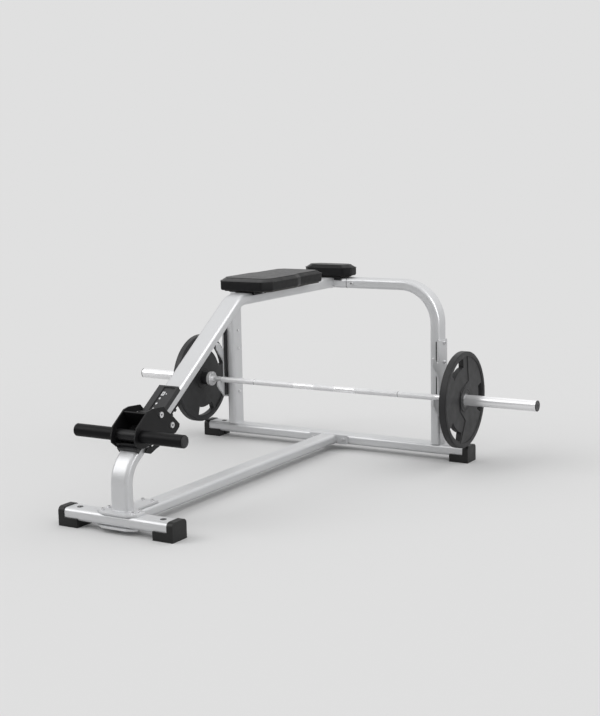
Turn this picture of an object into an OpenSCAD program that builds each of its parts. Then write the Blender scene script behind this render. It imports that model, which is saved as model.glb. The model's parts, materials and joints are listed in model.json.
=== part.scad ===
// Plate-loaded prone row bench with a loaded bar resting on its hooks.
// Millimetres, +Z up. X runs along the bar, +Y from the foot end to the head
// end. The origin is on the floor at the middle of the machine's footprint.

/* [Frame tube] */
// Wide side of the flat-oval tube
tube_w = 86; // [60:1:110]
// Narrow side of the tube
tube_t = 48; // [35:1:60]
// Corner radius of the tube
tube_r = 16; // [6:1:20]
// Wall thickness
tube_wall = 3; // [2:0.5:4]

/* [Base] */
// Distance between the two floor crossbars
base_pitch = 1684; // [1400:1:1900]
// Half length of the foot-end crossbar over its feet
front_half = 280; // [220:1:360]
// Half length of the head-end crossbar over its feet
rear_half = 745; // [600:1:800]
// Height of the tubes' undersides
foot_lift = 27; // [20:1:50]
// Depth of a rubber foot
foot_d = 93; // [90:1:120]
// Length of a foot's pad under the tube
foot_len = 95; // [70:1:130]
// Anchor hole radius
anchor_r = 9; // [6:0.5:11]

/* [Arch] */
// Half distance between the uprights' centre lines
arch_half = 574; // [480:1:640]
// Height of the arch's centre line
arch_z = 822; // [700:1:950]
// Bend radius of the arch on its centre line
arch_bend = 178; // [120:1:220]
// Half length of the middle joint piece
tee_half = 110; // [80:1:160]

/* [Spine] */
// Slope of the long front tube
spine_angle = 35.1; // [30:0.1:45]
// Bend radius of the spine on its centre line
spine_bend = 126; // [100:1:160]
// Height where the post starts to bend
knee_z = 180; // [150:1:220]
// Setback of the post from the foot-end crossbar
post_setback = 12; // [0:1:20]

/* [Pads] */
// Underside of the pads
pad_z = 855; // [820:1:900]
// Height of the pads' upright sides
pad_side = 39; // [30:1:60]
// Height of the bevel round the top
pad_bevel = 14; // [5:1:20]
// Half width of the chest pad
chest_half = 138; // [120:1:180]
// Half width of the head pad
head_half = 124; // [110:1:160]
// Depth of the head pad
head_d = 102; // [96:1:140]

/* [Bar and plates] */
// Length of the bar
bar_len = 2200; // [2000:1:2200]
// Radius of the grip section
bar_r = 14; // [12:0.5:16]
// Radius of the loading sleeves
sleeve_r = 25; // [24:0.5:25]
// Distance from the middle to each collar
collar_x = 660; // [640:1:680]
// Height of the bar on its hooks
bar_z = 308; // [290:1:360]
// Distance of the bar in front of the uprights' centre
bar_reach = 80; // [76:1:90]
// Radius of a weight plate
plate_r = 224; // [200:1:225]
// Thickness of a weight plate
plate_t = 34; // [25:1:60]
// Distance from the middle to a plate's inner face
plate_x = 716.3; // [700:0.1:760]

/* [Foot carriage] */
// Half distance between the side plates
cheek_x = 55; // [52:1:60]
// Thickness of the side plates
cheek_t = 6; // [4:1:8]
// Spacing of the height positions
notch_pitch = 30; // [25:1:40]
// Half length of the foot bar
foot_bar_half = 265; // [200:1:300]
// Radius of the foot grips
grip_r = 26; // [20:1:32]

/* [Hidden] */
$fn = 96;

half_t = tube_t / 2;
half_w = tube_w / 2;
tube_z = foot_lift + half_t;
tube_top = foot_lift + tube_t;
silver = [0.78, 0.79, 0.80];
black = [0.09, 0.09, 0.10];
steel = [0.72, 0.72, 0.73];
rubber = [0.13, 0.13, 0.13];

// Places along Y, with the footprint centred on the origin.
rear_y = (base_pitch + foot_d / 2 + bar_reach - plate_r) / 2;
front_y = rear_y - base_pitch;
bar_y = rear_y - bar_reach;
post_y = front_y + post_setback;

// Feet.
cap_wall = 4;
cap_len = 28;
foot_cup = 9;
front_anchor = 205;
rear_anchor = 650;

// Spine path: post, lower bend, slope, upper bend, level run.
base_plate_t = 8;
post_bottom = tube_top + base_plate_t;
knee_y = post_y + spine_bend;
slope_y = knee_y - spine_bend * sin(spine_angle);
slope_z = knee_z + spine_bend * cos(spine_angle);
crest_z = arch_z - spine_bend;
slope_end_z = crest_z + spine_bend * cos(spine_angle);
slope_len = (slope_end_z - slope_z) / sin(spine_angle);
slope_end_y = slope_y + slope_len * cos(spine_angle);
crest_y = slope_end_y + spine_bend * sin(spine_angle);
arch_front = rear_y - half_w;
arch_top = arch_z + half_t;

// Bolted joints.
bolt_r = 5;
post_bolt_x = 74;
post_bolt_y = 20;
nut_drop = 1.5;
flange_half = 108;
flange_t = 6;
flange_bolt_x = 84;
tongue_bolt_x = 24;
tongue_y = front_y + 172;
tongue_half = 38;
tongue_len = 152;
spigot_len = 60;
seam = 0.05;
lap = 0.5;

// Bar hooks.
hook_x = arch_half + half_t;
hook_t = 8;
liner_t = 6;
hook_top = 571;
hook_bottom = 214;
hook_bolt_z = [555, 463, 240];
seat_z = bar_z - bar_r - 0.3;

// Saddles and boards under the pads.
saddle_t = 4;
board_t = pad_z - arch_top - saddle_t;
ear_drop = 10;
screw_x = 62;
screw_r = 4;

// Guide rail and rack, measured along the slope and off its top face.
rail_half = 48;
rail_start = 8;
rail_end = 363;
rail_h = 15;
rail_skirt = 8;
groove_d = 4;
rail_screw_at = [60, 190, 320];
rail_screw_x = 10;
rail_screw_r = 3;
rack_half = 27;
rack_wall = 6;
rack_start = 78;
rack_end = 352;
rack_depth = 26;
notch_w = 19;
notch_d = 9;
notch_first = 114;

// Carriage.
top_axle = [195, 23.7];
low_axle = [221, -61];
foot_bar = [56, 41];
foot_tube_r = 16;
glide_r = 8.4;
low_glide_r = 12.5;
low_glide_x = 38.5;
pawl_x = 49;
pawl_t = 5;
pin_r = 5;
pin_at = [177, -80.4];

// Bar and plates.
bar_half = bar_len / 2;
collar_t = 16;
collar_r = 36;
journal_r = 11;
sleeve_bore = 19;
run_gap = 0.05;
hub_r = 33;
end_cap_t = 4;
plug_len = 7;
relief_w = 2;
relief_d = 0.6;
plate_bore = sleeve_r + 0.4;
ring_r = 34;

module round_rect(w, h, r) {
  square([w - 2 * r, h], center = true);
  square([w, h - 2 * r], center = true);
  for (sx = [-1, 1]) {
    for (sy = [-1, 1]) {
      translate([sx * (w / 2 - r), sy * (h / 2 - r)]) circle(r = r);
    }
  }
}

module section(shrink) {
  round_rect(tube_t - 2 * shrink, tube_w - 2 * shrink, tube_r - shrink);
}

// Crossbar along X on the floor line.
module crossbar(half, y, shrink, extra) {
  translate([-half - extra, y, tube_z])
    rotate([0, 90, 0])
      linear_extrude(2 * (half + extra)) section(shrink);
}

// Anchor holes right through a crossbar and its feet.
module anchors(x, y) {
  for (side = [-1, 1]) {
    translate([side * x, y, -1]) cylinder(r = anchor_r, h = tube_top + 30);
  }
}

module front_crossbar() {
  color(silver) difference() {
    crossbar(front_half - cap_wall, front_y, 0, 0);
    crossbar(front_half - cap_wall, front_y, tube_wall, 1);
    anchors(front_anchor, front_y);
    post_bolt_holes();
  }
}

module rear_crossbar() {
  color(silver) difference() {
    crossbar(rear_half - cap_wall, rear_y, 0, 0);
    crossbar(rear_half - cap_wall, rear_y, tube_wall, 1);
    anchors(rear_anchor, rear_y);
    flange_bolt_holes();
  }
}

// Rubber foot: an end cap over the tube and a longer pad cupping its underside.
module foot(half, y, side, anchor) {
  color(rubber) difference() {
    translate([side * (half - foot_len / 2), y, 0]) union() {
      translate([side * (foot_len - cap_len) / 2, 0, (tube_top + cap_wall) / 2 + 10])
        rotate([0, 90, 0])
          linear_extrude(cap_len, center = true)
            round_rect(tube_top + cap_wall - 20, foot_d, 20);
      translate([side * (foot_len - cap_len) / 2, 0, 24])
        cube([cap_len, foot_d, 48], center = true);
      translate([0, 0, (foot_lift + foot_cup) / 2])
        cube([foot_len, foot_d, foot_lift + foot_cup], center = true);
    }
    translate([side * (half - cap_wall) - (side > 0 ? foot_len : 0), y, tube_z])
      rotate([0, 90, 0]) linear_extrude(foot_len) section(0);
    translate([side * anchor, y, -1]) cylinder(r = anchor_r, h = foot_lift + 2);
  }
}

module beam_solid(shrink, extra) {
  start = front_y + half_w - extra;
  stop = rear_y - half_w - flange_t + extra;
  translate([0, stop, tube_z]) rotate([90, 90, 0]) linear_extrude(stop - start) section(shrink);
}

module base_beam() {
  color(silver) difference() {
    beam_solid(0, 0);
    beam_solid(tube_wall, 1);
    post_bolt_holes();
  }
}

module beam_flange() {
  color(silver) difference() {
    translate([0, arch_front - flange_t / 2, tube_z])
      rotate([90, 0, 0])
        linear_extrude(flange_t, center = true) round_rect(2 * flange_half, tube_t - 4, 8);
    flange_bolt_holes();
  }
}

module flange_bolt_holes() {
  for (side = [-1, 1]) {
    translate([side * flange_bolt_x, arch_front + 20, tube_z])
      rotate([90, 0, 0]) cylinder(r = bolt_r, h = 40);
  }
}

// Hex bolt with its head at the origin, shank along -Z, nut at the far side.
module bolt(grip, r) {
  cylinder(r = r * 1.9, h = 1.5);
  translate([0, 0, 1.5]) cylinder(r = r * 1.7, h = r * 1.2, $fn = 6);
  translate([0, 0, -grip - 3]) cylinder(r = r, h = grip + 3);
  translate([0, 0, -grip - r]) cylinder(r = r * 1.7, h = r, $fn = 6);
}

module beam_bolts() {
  color(steel) for (side = [-1, 1]) {
    translate([side * flange_bolt_x, arch_front - flange_t, tube_z])
      rotate([90, 0, 0]) bolt(flange_t + tube_wall, bolt_r);
  }
}

// The spine's path is drawn in a plane and stood up across X. The slope laps
// into both bends, a hair slimmer than they are, so that the pieces join.
module stand_up() {
  rotate([90, 0, 90]) children();
}

module spine_solid(shrink, extra) {
  stand_up() {
    translate([post_y, post_bottom - extra])
      rotate([-90, 0, 0])
        linear_extrude(knee_z - post_bottom + extra) section(shrink);
    translate([knee_y, knee_z])
      mirror([1, 0, 0])
        rotate_extrude(angle = 90 - spine_angle)
          translate([spine_bend, 0]) section(shrink);
    translate([slope_y, slope_z])
      rotate([0, 0, spine_angle - 90])
        translate([0, -lap])
          rotate([-90, 0, 0])
            linear_extrude(slope_len + 2 * lap) section(shrink + seam);
    translate([crest_y, crest_z])
      rotate([0, 0, 90])
        rotate_extrude(angle = spine_angle)
          translate([spine_bend, 0]) section(shrink);
    translate([crest_y, arch_z])
      rotate([0, 0, -90])
        rotate([-90, 0, 0])
          linear_extrude(arch_front - crest_y + extra) section(shrink);
  }
}

module spine_tube() {
  color(silver) difference() {
    spine_solid(0, 0);
    spine_solid(tube_wall, 1);
  }
}

// Octagonal plate, bolted above and below the crossbar.
module post_octagon() {
  polygon([
    [-60, -50], [60, -50], [100, -24], [100, 28], [60, 50], [-60, 50], [-100, 28], [-100, -24]
  ]);
}

module post_bolt_holes() {
  for (side = [-1, 1]) {
    for (dy = [-post_bolt_y, post_bolt_y]) {
      translate([side * post_bolt_x, front_y + dy, tube_z - 50]) cylinder(r = bolt_r, h = 100);
    }
    translate([side * tongue_bolt_x, tongue_y, tube_z]) cylinder(r = bolt_r, h = 50);
  }
}

// The upper plate has a tongue that runs back over the beam.
module post_base_plate() {
  color(silver) difference() {
    translate([0, front_y, tube_top]) linear_extrude(base_plate_t) union() {
      post_octagon();
      translate([-tongue_half, 40]) square([2 * tongue_half, tongue_len]);
    }
    post_bolt_holes();
  }
}

module post_clamp_plate() {
  color(silver) difference() {
    translate([0, front_y, foot_lift - base_plate_t])
      linear_extrude(base_plate_t) post_octagon();
    post_bolt_holes();
  }
}

module post_bolts() {
  color(steel) for (side = [-1, 1]) {
    for (dy = [-post_bolt_y, post_bolt_y]) {
      translate([side * post_bolt_x, front_y + dy, post_bottom])
        bolt(tube_t + 2 * base_plate_t, bolt_r);
    }
    translate([side * tongue_bolt_x, tongue_y, post_bottom])
      bolt(base_plate_t + tube_wall + nut_drop, bolt_r);
  }
}

// Half of the arch on the +X side.
module arch_solid(shrink, extra) {
  rotate([90, 0, 0]) {
    translate([tee_half - extra, arch_z])
      rotate([0, 0, -90])
        rotate([-90, 0, 0])
          linear_extrude(arch_half - arch_bend - tee_half + extra) section(shrink);
    translate([arch_half - arch_bend, arch_z - arch_bend])
      rotate_extrude(angle = 90)
        translate([arch_bend, 0]) section(shrink);
    translate([arch_half, tube_top - extra])
      rotate([-90, 0, 0])
        linear_extrude(arch_z - arch_bend - tube_top + extra) section(shrink);
  }
}

module arch_half_tube() {
  color(silver) difference() {
    translate([0, rear_y, 0]) arch_solid(0, 0);
    translate([0, rear_y, 0]) arch_solid(tube_wall, 1);
    hook_bolt_holes();
    tee_bolt_holes();
  }
}

module arch_right() {
  arch_half_tube();
}

module arch_left() {
  mirror([1, 0, 0]) arch_half_tube();
}

module across(half, shrink) {
  translate([-half, rear_y, arch_z]) rotate([0, 90, 0]) linear_extrude(2 * half) section(shrink);
}

// Middle piece of the arch, with spigots reaching into both halves.
module arch_tee() {
  color(silver) difference() {
    union() {
      across(tee_half, 0);
      across(tee_half + spigot_len, tube_wall);
    }
    across(tee_half + spigot_len + 1, 2 * tube_wall);
    tee_bolt_holes();
    head_screw_holes();
  }
}

module tee_bolt_holes() {
  for (side = [-1, 1]) {
    translate([side * (tee_half + spigot_len / 2), arch_front - 5, arch_z])
      rotate([-90, 0, 0]) cylinder(r = bolt_r, h = 20);
  }
}

module tee_bolts() {
  color(steel) for (side = [-1, 1]) {
    translate([side * (tee_half + spigot_len / 2), arch_front, arch_z])
      rotate([90, 0, 0]) bolt(2 * tube_wall, bolt_r);
  }
}

// Hook outline in the plane of Y and Z, behind and in front of the bar.
module hook_outline() {
  back = rear_y + half_w - 11;
  throat = bar_y + bar_r + 2;
  polygon([
    [back, hook_top], [throat, hook_top], [throat, bar_z + 164],
    [bar_y + 1, bar_z + 158], [bar_y - 16, bar_z + 186], [bar_y - 31, bar_z + 192],
    [bar_y - 43, bar_z + 188], [bar_y - 42, bar_z + 158], [bar_y - 29, bar_z + 140],
    [bar_y + 1, bar_z + 110], [throat, bar_z + 88], [throat, seat_z],
    [bar_y - 17, seat_z], [bar_y - 21, bar_z - 6], [bar_y - 42, bar_z - 6],
    [bar_y - 43, bar_z - 28], [bar_y - 27, bar_z - 48], [throat, hook_bottom + 4],
    [throat + 24, hook_bottom], [back, hook_bottom]
  ]);
}

module hook_plate() {
  color(silver) difference() {
    translate([hook_x, 0, 0]) rotate([90, 0, 90]) linear_extrude(hook_t) hook_outline();
    hook_bolt_holes();
  }
}

module hook_plate_right() {
  hook_plate();
}

module hook_plate_left() {
  mirror([1, 0, 0]) hook_plate();
}

module hook_bolt_holes() {
  for (z = hook_bolt_z) {
    translate([hook_x - tube_t - 10, rear_y, z]) rotate([0, 90, 0]) cylinder(r = bolt_r, h = 80);
  }
}

module hook_bolts() {
  color(steel) for (side = [0, 1]) {
    mirror([side, 0, 0]) for (z = hook_bolt_z) {
      translate([hook_x + hook_t, rear_y, z]) rotate([0, 90, 0]) bolt(hook_t + tube_t, bolt_r);
    }
  }
}

// Plastic guard beside the throat, in front of the upright.
module hook_liner() {
  color(black)
    translate([hook_x - liner_t, bar_y + bar_r + 2, hook_bottom + 12])
      cube([liner_t, arch_front - bar_y - bar_r - 2, hook_top - hook_bottom - 16]);
}

module hook_liner_right() {
  hook_liner();
}

module hook_liner_left() {
  mirror([1, 0, 0]) hook_liner();
}

// Saddle on the level tube: a top plate with two ears down its sides.
module saddle(y, len, half) {
  color(black) difference() {
    union() {
      translate([-half, y, arch_top]) cube([2 * half, len, saddle_t]);
      for (side = [-1, 1]) {
        translate([side * (half_w + 2.5) - 2.5, y, arch_top - ear_drop])
          cube([5, len, ear_drop]);
      }
    }
    for (side = [-1, 1]) {
      translate([side * screw_x, y + len / 2, arch_top - 1])
        cylinder(r = screw_r, h = saddle_t + 2);
    }
  }
}

chest_front = rear_y - 798.5;
chest_back = rear_y - 274;
head_front = rear_y - head_d / 2 + 1;

module chest_saddle_front() {
  saddle(chest_front + 32, 100, 80);
}

module chest_saddle_rear() {
  saddle(chest_back - 150, 80, 80);
}

// The head pad sits right over the arch, so its saddle hugs the middle piece.
// Its front ear is left out where the spine comes in.
module head_saddle() {
  color(black) difference() {
    union() {
      translate([-80, rear_y - half_w - 5, arch_top]) cube([160, tube_w + 10, saddle_t]);
      for (side = [-1, 1]) {
        translate([-80, rear_y + side * (half_w + 2.5) - 2.5, arch_top - ear_drop])
          cube([160, 5, ear_drop]);
      }
    }
    translate([-half_w - 3, arch_front - 20, arch_top - ear_drop - 1])
      cube([tube_w + 6, 20, ear_drop + 1]);
    head_screw_holes();
  }
}

module head_screw_holes() {
  for (side = [-1, 1]) {
    translate([side * screw_x, rear_y, arch_z - tube_t]) cylinder(r = screw_r, h = 100);
  }
}

// Half-width steps of the chest pad from its front to its back.
module chest_outline(inset) {
  a = chest_half - inset;
  b = chest_half - 13 - inset;
  c = chest_half - 32 - inset * 0.7;
  f = chest_front + inset * 2;
  r = chest_back - inset;
  waist = chest_front + 262;
  polygon([
    [-c, f], [c, f], [a, chest_front + 48 + inset], [a, waist], [b, waist + 46],
    [b, r - 24], [b - 24, r], [24 - b, r], [-b, r - 24],
    [-b, waist + 46], [-a, waist], [-a, chest_front + 48 + inset]
  ]);
}

module head_outline(inset) {
  a = head_half - inset * 1.3;
  f = head_front + inset;
  r = head_front + head_d - inset;
  polygon([
    [-a + 30, f], [a - 30, f], [a, f + 30], [a, r - 25], [a - 30, r],
    [-a + 30, r], [-a, r - 25], [-a, f + 30]
  ]);
}

module chest_board() {
  color(black)
    translate([0, 0, arch_top + saddle_t]) linear_extrude(board_t) chest_outline(12);
}

module head_board() {
  color(black)
    translate([0, 0, arch_top + saddle_t]) linear_extrude(board_t) head_outline(12);
}

// A pad is three steps: upright sides, then two shrinking layers for its bevel.
module chest_pad() {
  color(rubber) translate([0, 0, pad_z]) {
    linear_extrude(pad_side) chest_outline(0);
    translate([0, 0, pad_side]) linear_extrude(pad_bevel / 2) chest_outline(8);
    translate([0, 0, pad_side + pad_bevel / 2]) linear_extrude(pad_bevel / 2) chest_outline(18);
  }
}

module head_pad() {
  color(rubber) translate([0, 0, pad_z]) {
    linear_extrude(pad_side) head_outline(0);
    translate([0, 0, pad_side]) linear_extrude(pad_bevel / 2) head_outline(8);
    translate([0, 0, pad_side + pad_bevel / 2]) linear_extrude(pad_bevel / 2) head_outline(18);
  }
}

// Screws into the boards; the head pad's two go up through the arch.
module pad_screws() {
  color(steel) for (side = [-1, 1]) {
    for (y = [chest_front + 82, chest_back - 110]) {
      pad_screw(side * screw_x, y, arch_top);
    }
    pad_screw(side * screw_x, rear_y, arch_z - half_t);
  }
}

module pad_screw(x, y, under) {
  translate([x, y, under - 4]) cylinder(r = 7, h = 4);
  translate([x, y, under - 1]) cylinder(r = screw_r, h = arch_top + saddle_t - under + 1);
}

// Puts a child on the slope: X across, Y up along the slope, Z off its top face.
module on_slope() {
  translate([0, slope_y, slope_z])
    rotate([spine_angle, 0, 0])
      translate([0, 0, half_t]) children();
}

module guide_rail() {
  color(black) on_slope() difference() {
    translate([-rail_half, rail_start, -rail_skirt])
      cube([2 * rail_half, rail_end - rail_start, rail_h + rail_skirt]);
    translate([-half_w - 0.5, rail_start - 1, -rail_skirt - 1])
      cube([tube_w + 1, rail_end - rail_start + 2, rail_skirt + 1]);
    translate([-18, rail_start + 30, rail_h - groove_d])
      cube([56, rail_end - rail_start - 38, groove_d + 1]);
    for (s = rail_screw_at) {
      translate([rail_screw_x, s, -1]) cylinder(r = rail_screw_r, h = rail_h);
    }
  }
}

module rail_screws() {
  color(steel) on_slope() for (s = rail_screw_at) {
    translate([rail_screw_x, s, 0]) cylinder(r = rail_screw_r, h = rail_h - groove_d);
  }
}

// Channel under the slope, its two flanges notched at every height position.
module rack() {
  color(black) on_slope() translate([0, 0, -tube_t - rack_depth]) difference() {
    translate([-rack_half, rack_start, 0])
      cube([2 * rack_half, rack_end - rack_start, rack_depth]);
    translate([rack_wall - rack_half, rack_start - 1, -1])
      cube([2 * (rack_half - rack_wall), rack_end - rack_start + 2, rack_depth - rack_wall + 2]);
    for (s = [notch_first : notch_pitch : rack_end - notch_pitch / 2]) {
      translate([-rack_half - 1, s - notch_w / 2, -1])
        cube([2 * rack_half + 2, notch_w, notch_d + 1]);
    }
  }
}

// Side plate outline, along the slope and off its top face.
module cheek_outline() {
  polygon([
    [52, 91], [143, 93], [173, 79], [229, 34], [234, 8], [251, -45],
    [263, -97], [252, -106], [220, -106], [91, -34], [18, 8], [6, 44], [16, 66]
  ]);
}

module axle_hole(at, r) {
  translate([at[0], at[1], -1]) cylinder(r = r, h = 200);
}

module cheek() {
  color(black) on_slope() rotate([90, 0, 90]) translate([0, 0, cheek_x]) difference() {
    linear_extrude(cheek_t) cheek_outline();
    axle_hole(top_axle, bolt_r);
    axle_hole(low_axle, bolt_r);
    axle_hole(foot_bar, foot_tube_r);
  }
}

module cheek_right() {
  cheek();
}

module cheek_left() {
  mirror([1, 0, 0]) cheek();
}

module between_cheeks(s, n, ds, dn) {
  on_slope() translate([-cheek_x, s, n]) cube([2 * cheek_x, ds, dn]);
}

// Upright plate behind the foot bar, standing clear of the rail.
module upper_bridge() {
  color(black) between_cheeks(132, rail_h + 3, 6, 72);
}

module front_web() {
  color(black) between_cheeks(18, rail_h + 1.5, 6, 14);
}

module lower_bridge() {
  color(black) between_cheeks(226, -104, 26, 6);
}

// A straight piece across the carriage, given its place on the slope.
module cross(at, half, r) {
  on_slope() translate([-half, at[0], at[1]]) rotate([0, 90, 0]) cylinder(r = r, h = 2 * half);
}

module foot_tube() {
  color(black) difference() {
    cross(foot_bar, foot_bar_half - 3, foot_tube_r);
    cross(foot_bar, foot_bar_half, foot_tube_r - tube_wall);
  }
}

module foot_spacer() {
  color(black) difference() {
    cross(foot_bar, cheek_x, 24);
    cross(foot_bar, cheek_x + 1, foot_tube_r);
  }
}

module foot_grip(side) {
  inner = cheek_x + cheek_t;
  len = foot_bar_half - 3 - inner;
  color(rubber) on_slope() translate([side > 0 ? inner : -inner - len, foot_bar[0], foot_bar[1]])
    rotate([0, 90, 0]) difference() {
      cylinder(r = grip_r, h = len);
      translate([0, 0, -1]) cylinder(r = foot_tube_r, h = len + 2);
    }
}

module foot_grip_right() {
  foot_grip(1);
}

module foot_grip_left() {
  foot_grip(-1);
}

module foot_end_caps() {
  color(black) on_slope() for (side = [-1, 1]) {
    translate([side * (foot_bar_half - 1.5), foot_bar[0], foot_bar[1]])
      rotate([0, 90, 0]) cylinder(r = grip_r - 2, h = 3, center = true);
  }
}

module upper_glide() {
  color(black) difference() {
    cross(top_axle, cheek_x - 9, glide_r);
    cross(top_axle, cheek_x, bolt_r);
  }
}

module lower_glides() {
  color(black) on_slope() for (side = [-1, 1]) {
    translate([side * low_glide_x, low_axle[0], low_axle[1]]) rotate([0, 90, 0]) difference() {
      cylinder(r = low_glide_r, h = 18, center = true);
      cylinder(r = bolt_r, h = 40, center = true);
    }
  }
}

// Through bolt on top, and two stub bolts below, each with a domed head.
module cheek_bolts() {
  color(steel) on_slope() for (side = [0, 1]) {
    mirror([side, 0, 0]) {
      translate([cheek_x + cheek_t, top_axle[0], top_axle[1]])
        rotate([0, 90, 0]) bolt_cap();
      translate([cheek_x + cheek_t, low_axle[0], low_axle[1]])
        rotate([0, 90, 0]) bolt_cap();
      translate([low_glide_x - 9, low_axle[0], low_axle[1]])
        rotate([0, 90, 0]) cylinder(r = bolt_r, h = cheek_x + cheek_t - low_glide_x + 9);
    }
  }
  color(steel) cross(top_axle, cheek_x + cheek_t, bolt_r);
}

module bolt_cap() {
  difference() {
    cylinder(r = 12, h = 6);
    translate([0, 0, 2]) cylinder(r = 5, h = 6, $fn = 6);
  }
}

// Latch arms each side of the tube, joined by the pin that enters the rack.
module pawl_plate(outline_to) {
  on_slope() rotate([90, 0, 90]) translate([0, 0, pawl_x]) difference() {
    linear_extrude(pawl_t) polygon(outline_to);
    translate([low_axle[0], low_axle[1], -1]) cylinder(r = bolt_r + run_gap, h = 20);
    translate([pin_at[0], pin_at[1], -1]) cylinder(r = pin_r, h = 20);
  }
}

pawl_head = [[187, -91], [226, -75], [235, -67], [235, -55], [226, -47], [212, -49]];

module pawl_lever() {
  color(black) pawl_plate(concat(pawl_head, [
    [170, -64], [100, -50], [88, -48], [58, -24], [35, -29], [59, -60], [90, -68], [160, -91]
  ]));
}

module pawl_arm() {
  color(black) mirror([1, 0, 0]) pawl_plate(concat(pawl_head, [[165, -68], [165, -91]]));
}

module pawl_pin() {
  color(steel) cross(pin_at, pawl_x + pawl_t, pin_r);
}

// Turns a bar part so that it lies along X at the bar's place.
module on_bar(x) {
  translate([x, bar_y, bar_z]) rotate([0, 90, 0]) children();
}

module bar_shaft() {
  shoulder = collar_x + collar_t;
  color(steel) {
    on_bar(-shoulder) cylinder(r = bar_r, h = 2 * shoulder);
    on_bar(12 - bar_half) cylinder(r = journal_r, h = bar_len - 24);
  }
}

// Collar and loading sleeve, with a shallow relief outside the first plate.
module sleeve() {
  start = collar_x + collar_t;
  color(steel) difference() {
    union() {
      on_bar(collar_x) cylinder(r = collar_r, h = collar_t);
      on_bar(start) cylinder(r = sleeve_r, h = bar_half - end_cap_t - start);
    }
    on_bar(collar_x - 1) cylinder(r = bar_r + run_gap, h = bar_half);
    on_bar(start + 0.5) cylinder(r = sleeve_bore, h = bar_half);
    disc_ring(sleeve_r - relief_d, sleeve_r + 1, plate_x + plate_t + 0.2, relief_w);
  }
}

module bushings() {
  color([0.7, 0.55, 0.3]) for (x = [collar_x + collar_t + 1, bar_half - 52]) {
    on_bar(x) difference() {
      cylinder(r = sleeve_bore, h = 30);
      translate([0, 0, -1]) cylinder(r = journal_r + run_gap, h = 32);
    }
  }
}

// End plug with a rim, and the black stop hub beside the collar.
module sleeve_end() {
  hub_x = collar_x + collar_t;
  color(black) {
    on_bar(bar_half - end_cap_t) cylinder(r = sleeve_r, h = end_cap_t);
    on_bar(bar_half - end_cap_t - plug_len) cylinder(r = sleeve_bore, h = plug_len + 1);
    on_bar(hub_x) difference() {
      cylinder(r = hub_r, h = plate_x - 0.3 - hub_x);
      translate([0, 0, -1]) cylinder(r = sleeve_r, h = 60);
    }
  }
}

module sleeve_right() {
  sleeve();
}

module sleeve_left() {
  mirror([1, 0, 0]) sleeve();
}

module bushings_right() {
  bushings();
}

module bushings_left() {
  mirror([1, 0, 0]) bushings();
}

module sleeve_end_right() {
  sleeve_end();
}

module sleeve_end_left() {
  mirror([1, 0, 0]) sleeve_end();
}

// Ring sector in the plate's plane, counted from +Y towards +Z.
module sector(r1, r2, from, sweep, x, h) {
  translate([x, bar_y, bar_z])
    rotate([90, 0, 90])
      rotate([0, 0, from])
        rotate_extrude(angle = sweep)
          translate([r1, 0]) square([r2 - r1, h]);
}

// Raised panel: what is left of a ring beyond a stepped edge.
module panel(r1, r2, turn, x, h) {
  translate([x, bar_y, bar_z])
    rotate([90, 0, 90])
      rotate([0, 0, turn])
        linear_extrude(h) difference() {
          circle(r = r2);
          circle(r = r1);
          polygon([
            [27, 210], [42, 83], [-50, 45], [-50, -45], [8, -100], [-59, -210],
            [-230, -210], [-230, 210]
          ]);
        }
}

module disc_ring(r1, r2, x, h) {
  on_bar(x) difference() {
    cylinder(r = r2, h = h);
    translate([0, 0, -1]) cylinder(r = r1, h = h + 2);
  }
}

// Grip plate with three openings, a rim and a hub. A raised panel on each
// face, set opposite to each other, keeps it in balance.
module grip_plate(turn) {
  rim = 22;
  dish = 6;
  open_in = 152;
  open_out = 194;
  open_sweep = 42;
  color(rubber) difference() {
    union() {
      disc_ring(ring_r, plate_r - rim + 1, plate_x + dish, plate_t - 2 * dish);
      disc_ring(plate_r - rim, plate_r - 3, plate_x, plate_t);
      disc_ring(plate_r - rim + 4, plate_r, plate_x + 3, plate_t - 6);
      disc_ring(ring_r, 56, plate_x, plate_t);
      panel(54, plate_r - rim + 2, turn, plate_x + plate_t - dish - 1, dish / 2 + 1);
      panel(54, plate_r - rim + 2, turn + 180, plate_x + dish / 2, dish / 2 + 1);
    }
    for (k = [0 : 2]) {
      sector(open_in, open_out, turn - 5 - open_sweep / 2 + 120 * k, open_sweep,
        plate_x - 1, plate_t + 2);
    }
  }
}

module plate_right() {
  grip_plate(0);
}

module plate_left() {
  mirror([1, 0, 0]) grip_plate(41);
}

module plate_ring_right() {
  color(steel) disc_ring(plate_bore, ring_r, plate_x, plate_t);
}

module plate_ring_left() {
  mirror([1, 0, 0]) plate_ring_right();
}

module foot_front_left() {
  foot(front_half, front_y, -1, front_anchor);
}

module foot_front_right() {
  foot(front_half, front_y, 1, front_anchor);
}

module foot_rear_left() {
  foot(rear_half, rear_y, -1, rear_anchor);
}

module foot_rear_right() {
  foot(rear_half, rear_y, 1, rear_anchor);
}

front_crossbar();
rear_crossbar();
base_beam();
beam_flange();
beam_bolts();
spine_tube();
post_base_plate();
post_clamp_plate();
post_bolts();
arch_left();
arch_right();
arch_tee();
tee_bolts();
hook_plate_left();
hook_plate_right();
hook_liner_left();
hook_liner_right();
hook_bolts();
foot_front_left();
foot_front_right();
foot_rear_left();
foot_rear_right();
chest_saddle_front();
chest_saddle_rear();
head_saddle();
chest_board();
head_board();
chest_pad();
head_pad();
pad_screws();
guide_rail();
rack();
rail_screws();
cheek_left();
cheek_right();
upper_bridge();
front_web();
lower_bridge();
foot_tube();
foot_spacer();
foot_grip_left();
foot_grip_right();
foot_end_caps();
upper_glide();
lower_glides();
cheek_bolts();
pawl_lever();
pawl_arm();
pawl_pin();
bar_shaft();
sleeve_left();
sleeve_right();
bushings_left();
bushings_right();
sleeve_end_left();
sleeve_end_right();
plate_left();
plate_right();
plate_ring_left();
plate_ring_right();
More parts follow.
